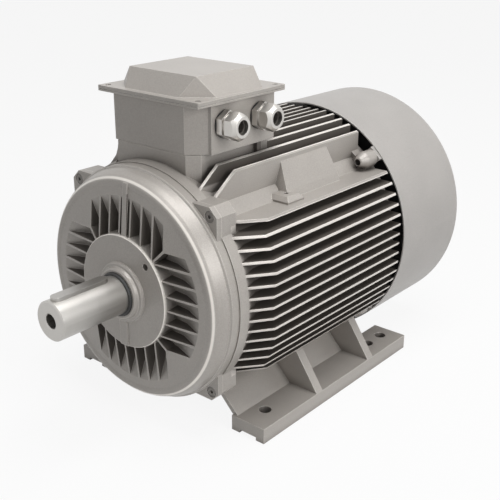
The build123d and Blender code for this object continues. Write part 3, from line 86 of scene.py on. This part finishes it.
def side_fillet():
    """Thin cast fillet behind the ring, from the neck's left side down past the corner."""
    bpy.ops.object.select_all(action="DESELECT")
    bpy.ops.mesh.primitive_plane_add(size=1)
    root = bpy.context.object
    root.name = "neck_root_fillet"
    start = radians(ROOT_START)
    for vertex, (radius, y) in zip((0, 1, 3, 2), ROOT_PROFILE):
        root.data.vertices[vertex].co = (radius * sin(start), y, SHAFT_HEIGHT + radius * cos(start))
    bpy.ops.object.mode_set(mode="EDIT")
    bpy.ops.mesh.select_all(action="SELECT")
    bpy.ops.mesh.spin(steps=ROOT_STEPS, angle=radians(ROOT_SWEEP), center=(0, 0, SHAFT_HEIGHT), axis=(0, 1, 0))
    bpy.ops.mesh.select_all(action="SELECT")
    bpy.ops.mesh.normals_make_consistent(inside=False)
    bpy.ops.object.mode_set(mode="OBJECT")
    bpy.ops.object.shade_smooth_by_angle(angle=radians(30))
    return root


def place_camera():
    turn, tilt, roll = radians(CAMERA_AZIMUTH), radians(CAMERA_ELEVATION), radians(CAMERA_ROLL)
    back = Vector((sin(turn) * cos(tilt), -cos(turn) * cos(tilt), sin(tilt)))
    level = Vector((cos(turn), sin(turn), 0))
    raised = back.cross(level)
    right = level * cos(roll) + raised * sin(roll)
    up = raised * cos(roll) - level * sin(roll)
    lens = bpy.data.cameras.new("photo_camera")
    lens.lens = CAMERA_LENS
    lens.sensor_width = CAMERA_SENSOR
    lens.clip_end = CAMERA_FAR_LIMIT
    camera = bpy.data.objects.new("photo_camera", lens)
    bpy.context.scene.collection.objects.link(camera)
    camera.matrix_world = Matrix.Translation(CAMERA_PLACE) @ Matrix((right, up, back)).transposed().to_4x4()
    bpy.context.scene.camera = camera


class Wire:
    """A shader value that can be written in a formula."""

    def __init__(self, tree, socket):
        self.tree = tree
        self.socket = socket

    def _maths(self, operation, first, second):
        return self.tree.add("ShaderNodeMath", {"operation": operation}, {0: first, 1: second})

    def __add__(self, other):
        return self._maths("ADD", self, other)

    __radd__ = __add__

    def __mul__(self, other):
        return self._maths("MULTIPLY", self, other)

    __rmul__ = __mul__

    def __sub__(self, other):
        return self._maths("SUBTRACT", self, other)

    def __rsub__(self, other):
        return self._maths("SUBTRACT", other, self)

    def __pow__(self, other):
        return self._maths("POWER", self, other)


class Tree:
    """The nodes of the world or of one material."""

    def __init__(self, owner):
        owner.use_nodes = True
        self.nodes = owner.node_tree.nodes
        self.links = owner.node_tree.links

    def add(self, kind, settings=None, values=None, output=0):
        node = self.nodes.new(kind)
        for key, value in (settings or {}).items():
            if key == "stops":
                self.set_stops(node.color_ramp, value)
            else:
                setattr(node, key, value)
        self.put(node, values or {})
        return Wire(self, node.outputs[output])

    def put(self, node, values):
        for key, value in values.items():
            if isinstance(value, Wire):
                self.links.new(value.socket, node.inputs[key])
            else:
                node.inputs[key].default_value = value

    @staticmethod
    def set_stops(ramp, stops):
        while len(ramp.elements) < len(stops):
            ramp.elements.new(0.5)
        for element, (position, grey) in zip(ramp.elements, stops):
            element.position = position
            element.color = (grey, grey, grey, 1)

    def larger(self, first, second):
        return self.add("ShaderNodeMath", {"operation": "MAXIMUM"}, {0: first, 1: second})

    def seen_directly(self):
        """1 for camera rays and for the rays that metal and glass send on."""
        rays = self.add("ShaderNodeLightPath").socket.node.outputs
        names = ("Is Camera Ray", "Is Glossy Ray", "Is Transmission Ray")
        camera, glossy, through = [Wire(self, rays[name]) for name in names]
        return self.larger(self.larger(camera, glossy), through)


class Finish(Tree):
    """One material, built on a Principled shader."""

    def __init__(self, name, colour, roughness, metallic=0.0):
        self.material = bpy.data.materials.new(name)
        super().__init__(self.material)
        self.shader = self.nodes["Principled BSDF"]
        self.put(self.shader, {"Base Color": (*colour, 1), "Roughness": roughness, "Metallic": metallic})
        self.place = self.add("ShaderNodeTexCoord", output="Object")

    def size(self, value):
        return self.add("ShaderNodeMath", {"operation": "ABSOLUTE"}, {0: value})

    def axes(self, vector):
        parts = self.add("ShaderNodeSeparateXYZ", None, {"Vector": vector}).socket.node
        return [Wire(self, output) for output in parts.outputs]

    def facing(self):
        """How far the surface faces along x, y and z."""
        return self.axes(self.add("ShaderNodeTexCoord", output="Normal"))

    def step(self, value, low, high):
        """Smooth step from 0 at low to 1 at high, falling where high is the smaller."""
        if high < low:
            return 1 - self.step(value, high, low)
        limits = {"Value": value, "From Min": low, "From Max": high}
        return self.add("ShaderNodeMapRange", {"interpolation_type": "SMOOTHSTEP"}, limits)

    def within(self, value, limit, fade):
        """1 where the value is under the limit, whichever side of zero it is on."""
        return self.step(self.size(value), limit + fade, limit)

    def between(self, value, low, high):
        return self.step(value, low, low + END_FADE) * self.step(value, high, high - END_FADE)

    def noise(self, scale, detail, stretch=None):
        place = self.place
        if stretch:
            place = self.add("ShaderNodeMapping", None, {"Vector": place, "Scale": stretch})
        return self.add("ShaderNodeTexNoise", None, {"Vector": place, "Scale": scale, "Detail": detail})

    def ramp(self, value, *stops):
        return self.add("ShaderNodeValToRGB", {"stops": stops}, {"Fac": value})

    def blend(self, amount, first, second):
        """Mix two colours, given as values or wires."""
        values = {0: amount, 6: first if isinstance(first, Wire) else (*first, 1),
                  7: second if isinstance(second, Wire) else (*second, 1)}
        return self.add("ShaderNodeMix", {"data_type": "RGBA"}, values, output=2)

    def rounded(self, radius):
        """The surface's normal, as if its edges were rounded to the radius."""
        return self.add("ShaderNodeBevel", {"samples": 6}, {"Radius": radius})

    def edges(self, radius):
        """Mask that is 1 along sharp edges, fading out over the given radius."""
        normals = {0: self.rounded(radius), 1: self.add("ShaderNodeNewGeometry", output="True Normal")}
        same = self.add("ShaderNodeVectorMath", {"operation": "DOT_PRODUCT"}, normals, output="Value")
        return self.ramp(1 - same, (0.01, 0), (0.12, 1))

    def openness(self, reach):
        """1 on open faces, less in grooves and pockets narrower than about twice the reach."""
        return self.add("ShaderNodeAmbientOcclusion", {"samples": 8}, {"Distance": reach}, output="AO")

    def relief(self, height, strength, distance, rounding=None):
        values = {"Height": height, "Strength": strength, "Distance": distance}
        if rounding:
            values["Normal"] = self.rounded(rounding)
        self.put(self.shader, {"Normal": self.add("ShaderNodeBump", None, values)})

    def give(self, *names):
        for name in names:
            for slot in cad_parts[name].material_slots:
                slot.material = self.material


def toned(colour, factor):
    return tuple(min(1, factor * part) for part in colour)


# Each of the three functions below returns two masks: how much shade is painted on a place, and how much
# painted highlight it gets on a tip edge or crest.

def plain_painted_shade(paint):
    """Painted shade where the surface is recessed; no face gets a painted highlight."""
    return paint.ramp(paint.openness(GROOVE_REACH), *RECESS_SHADE_TONES), 0.0


def fin_painted_light(paint):
    """Painted shade in the gaps between the fins and on their flat faces, and a painted highlight on each
    fin's tip edge.
    """
    x, y, z = paint.axes(paint.place)
    side = paint.within(z - SHAFT_HEIGHT, FIN_SPAN, SIDE_FADE)
    top = paint.within(x, TOP_FIN_SPAN, SIDE_FADE) * paint.step(z, TOP_FIN_FOOT - FOOT_FADE, TOP_FIN_FOOT)
    neck = paint.within(x, NECK_SIDE, SIDE_FADE) * paint.step(y, NECK_REAR + SIDE_FADE, NECK_REAR)
    top = top * (1 - neck)
    length = paint.between(y, FIN_START, FIN_END)
    fins = paint.larger(side, top) * length
    open_sky = paint.openness(GROOVE_REACH)
    facing = paint.facing()
    # painted shade on the flat faces of the fins
    flank_shade = paint.larger(side * paint.step(paint.size(facing[2]), 0.80, 0.92),
                          top * paint.step(paint.size(facing[0]), 0.80, 0.92)) * length * 0.93
    # painted shade deep in the gaps between the fins
    channel_shade = paint.larger(flank_shade, paint.ramp(open_sky, (0.55, 0.95), (0.80, 0)) * fins)
    # painted shade in any other recessed place
    recess_shade = paint.ramp(open_sky, *RECESS_SHADE_TONES)
    # painted highlight on each fin's tip edge
    tip_highlight = paint.ramp(open_sky, (0.90, 0), (0.97, 0.6)) * fins
    return paint.larger(channel_shade, recess_shade), tip_highlight * (1 - flank_shade)


def pocket_painted_light(paint):
    """Painted shade on the side faces of the shield's ribs and in tight spots, light floors between the ribs,
    and painted highlights along the rim crest and the hub edge.
    """
    x, y, z = paint.axes(paint.place)
    rise = z - SHAFT_HEIGHT
    radius = (x * x + rise * rise) ** 0.5
    pockets = paint.between(radius, *POCKET_RADII) * paint.between(y, *POCKET_DEPTHS)
    # painted shade on the side faces of the ribs
    rib_side_shade = paint.step(paint.size(paint.facing()[1]), 0.55, 0.25) * pockets
    # painted shade in tight spots
    corner_shade = paint.ramp(paint.openness(CORNER_REACH), (0.12, 0.4), (0.5, 0))
    # painted highlight along the rim crest and the hub edge
    rim = paint.step(paint.size(radius - RIM_CREST), *RIM_WIDTHS)
    rim = rim * paint.step(y, RIM_FRONT + FRONT_FADE, RIM_FRONT)
    hub = paint.step(paint.size(radius - HUB_EDGE), *HUB_WIDTHS)
    hub = hub * paint.step(y, HUB_FRONT + FRONT_FADE, HUB_FRONT)
    return paint.larger(0.85 * rib_side_shade, corner_shade), 0.9 * paint.larger(rim, hub)


def cast_paint(name, colour, bright, roughness, metallic, painted_light=plain_painted_shade):
    """Satin grey paint on a casting: fine grain, faint clouding, edges made lighter as partly rubbed paint and
    partly painted highlight, painted shade where the surface is recessed, and painted highlights along fin tip
    edges and crests.
    """
    paint = Finish(name, colour, roughness, metallic)
    clouds = paint.noise(14, 4)
    grain = paint.noise(650, 3)
    # edges made lighter: partly rubbed paint, partly a painted highlight along them
    lighter_edges = paint.edges(0.0012) * (0.55 + 0.6 * paint.noise(60, 2))
    mottled = paint.blend(paint.ramp(clouds, (0.35, 0), (0.7, 1)), toned(colour, 0.92), colour)
    speckled = paint.blend(paint.ramp(grain, (0.3, 0), (0.75, 1)) * 0.2, mottled, bright)
    worn_and_highlighted = paint.blend(lighter_edges, speckled, bright)
    # the painted shade and painted highlights that the chosen function gives, mixed into the colour
    painted_shade, tip_highlight = painted_light(paint)
    highlighted = paint.blend(tip_highlight, worn_and_highlighted, toned(bright, 1.3))
    paint.put(paint.shader, {"Base Color": paint.blend(painted_shade, highlighted, PAINTED_SHADE_GREY),
                             "Roughness": roughness + 0.10 * grain - 0.10 * lighter_edges + 0.15 * painted_shade})
    paint.relief(grain + 0.6 * paint.noise(180, 2), 0.22, 0.0003, 0.0011)
    return paint


def machined_steel(name, colour, roughness, direction):
    """Turned or ground steel: fine lines that run round the shaft or along a flat."""
    steel = Finish(name, colour, roughness, 1.0)
    lines = steel.noise(40, 3, direction)
    stain = steel.noise(25, 3)
    steel.put(steel.shader, {"Base Color": steel.blend(stain * 0.5, colour, toned(colour, 0.80)),
                             "Roughness": roughness - 0.08 + 0.22 * lines})
    steel.relief(lines, 0.04, 0.0001, 0.0006)
    return steel


def plated_metal(name, colour, roughness):
    """Plated or bare cast metal: soft blotches and edges rubbed bright."""
    plate = Finish(name, colour, roughness, 1.0)
    blotches = plate.noise(180, 3)
    lighter_edges = plate.edges(0.0005)
    blotched = plate.blend(blotches * 0.5, colour, toned(colour, 0.82))
    plate.put(plate.shader, {"Base Color": plate.blend(lighter_edges * 0.6, blotched, toned(colour, 1.15)),
                             "Roughness": roughness - 0.06 + 0.16 * blotches})
    plate.relief(plate.noise(900, 2), 0.06, 0.0001, 0.0005)
    return plate


def moulded(name, colour, roughness):
    """Rubber or moulded plastic: fine grain and a little dust."""
    rubber = Finish(name, colour, roughness)
    grain = rubber.noise(900, 2)
    dust = rubber.noise(40, 3)
    dusty = tuple(part + 0.03 for part in colour)
    rubber.put(rubber.shader, {"Base Color": rubber.blend(dust * 0.4, colour, dusty),
                               "Roughness": roughness - 0.1 + 0.2 * grain})
    rubber.relief(grain, 0.2, 0.0002)
    return rubber


def add_area(name, place, target, size, power):
    lamp = bpy.data.lights.new(name, "AREA")
    lamp.shape = "RECTANGLE"
    lamp.size, lamp.size_y = size
    lamp.energy = power
    holder = bpy.data.objects.new(name, lamp)
    bpy.context.scene.collection.objects.link(holder)
    holder.location = place
    holder.rotation_euler = (Vector(target) - Vector(place)).to_track_quat("-Z", "Y").to_euler()


def white_surround():
    bpy.context.scene.world = bpy.data.worlds.new("studio")
    world = Tree(bpy.context.scene.world)
    limits = {"Value": world.seen_directly(), "To Min": SURROUND_STRENGTH, "To Max": 1.0}
    strength = world.add("ShaderNodeMapRange", None, limits)
    world.put(world.nodes["Background"], {"Color": (1, 1, 1, 1), "Strength": strength})


def white_floor():
    """Floor that looks nearly white by itself and still takes the motor's shadow."""
    bpy.ops.object.select_all(action="DESELECT")
    bpy.ops.mesh.primitive_plane_add(size=FLOOR_SIZE, location=(0, 0, -FLOOR_DROP))
    floor = bpy.context.object
    floor.name = "studio_floor"
    paper = Finish("studio_paper", (PAPER_GREY, PAPER_GREY, PAPER_GREY), 1.0)
    glow = paper.add("ShaderNodeEmission", None, {"Color": (1, 1, 1, 1)})
    matt = Wire(paper, paper.shader.outputs[0])
    share = paper.seen_directly() * PAPER_GLOW
    mixed = paper.add("ShaderNodeMixShader", None, {0: share, 1: matt, 2: glow})
    paper.put(paper.nodes["Material Output"], {"Surface": mixed})
    floor.data.materials.append(paper.material)


def light_studio():
    bpy.context.scene.view_settings.view_transform = "Standard"
    white_surround()
    white_floor()
    for lamp in LAMPS:
        add_area(*lamp)


place_camera()
light_studio()

casting = cast_paint("cast_grey_paint", CAST_GREY, RUBBED_AND_HIGHLIGHT_GREY, 0.33, 0.18)
casting.give("foot_right", "foot_left", "fan_end_shield",
             "terminal_box", "terminal_box_lid", "terminal_box_gasket")
finned = cast_paint("finned_grey_paint", CAST_GREY, RUBBED_AND_HIGHLIGHT_GREY, 0.33, 0.18, fin_painted_light)
finned.give("stator_frame")
pocketed = cast_paint("pocketed_grey_paint", CAST_GREY, RUBBED_AND_HIGHLIGHT_GREY, 0.33, 0.18, pocket_painted_light)
pocketed.give("drive_end_shield")
# a darker copy of the casting paint for the ear bolts and lid screws: painted shade on their heads
shaded_screw_paint = cast_paint("screw_grey_paint", (0.20, 0.185, 0.17), (0.45, 0.43, 0.40), 0.40, 0.18)
shaded_screw_paint.give("drive_end_shield_bolts", "lid_screws")
cowl_paint = cast_paint("smooth_grey_paint", (0.37, 0.352, 0.335), (0.68, 0.65, 0.62), 0.36, 0.15)
cowl_paint.give("fan_cowl")

root = side_fillet()
root.data.materials.append(casting.material)
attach(root, "frame")

turned = machined_steel("turned_steel", (0.52, 0.505, 0.48), 0.36, (0.4, 12, 0.4))
turned.give("shaft")
ground = machined_steel("ground_steel", (0.46, 0.445, 0.425), 0.30, (12, 0.5, 12))
ground.give("drive_key", "fan_key")
bearing = machined_steel("bearing_steel", (0.78, 0.78, 0.78), 0.15, (0.4, 12, 0.4))
bearing.give("drive_end_bearing_inner_ring", "drive_end_bearing_outer_ring", "drive_end_bearing_balls",
             "fan_end_bearing_inner_ring", "fan_end_bearing_outer_ring", "fan_end_bearing_balls")
pressed = machined_steel("pressed_steel", (0.55, 0.54, 0.51), 0.35, (2, 2, 2))
pressed.give("drive_end_bearing_cage", "fan_end_bearing_cage",
             "bearing_circlip", "bearing_wave_spring", "fan_circlip")
sheets = machined_steel("core_sheets", (0.30, 0.30, 0.31), 0.45, (0.5, 60, 0.5))
sheets.give("stator_core", "rotor_core")

zinc = plated_metal("zinc_plate", (0.66, 0.65, 0.62), 0.32)
zinc.give("fan_end_shield_bolts", "cowl_screws", "cowl_nuts", "terminal_box_screws", "earth_screw")
nickel = plated_metal("nickel_plate", (0.62, 0.60, 0.57), 0.36)
nickel.give("gland_bodies", "gland_cap_nuts", "gland_locknuts")
brass = plated_metal("stud_brass", (0.78, 0.58, 0.26), 0.28)
brass.give("terminal_studs", "terminal_links")
alloy = plated_metal("die_cast_alloy", (0.72, 0.72, 0.73), 0.42)
alloy.give("rotor_cage")
copper = plated_metal("varnished_copper", (0.55, 0.22, 0.09), 0.38)
copper.give("stator_windings")

black_rubber = moulded("black_rubber", (0.018, 0.018, 0.018), 0.55)
black_rubber.give("drive_end_seal", "fan_end_v_ring", "lid_gasket", "gland_gaskets")
grey_rubber = moulded("grey_rubber", (0.085, 0.076, 0.068), 0.6)
grey_rubber.give("gland_seals")
fan_plastic = moulded("black_moulding", (0.03, 0.03, 0.03), 0.45)
fan_plastic.give("cooling_fan")
bakelite = moulded("brown_moulding", (0.06, 0.035, 0.02), 0.35)
bakelite.give("terminal_board")
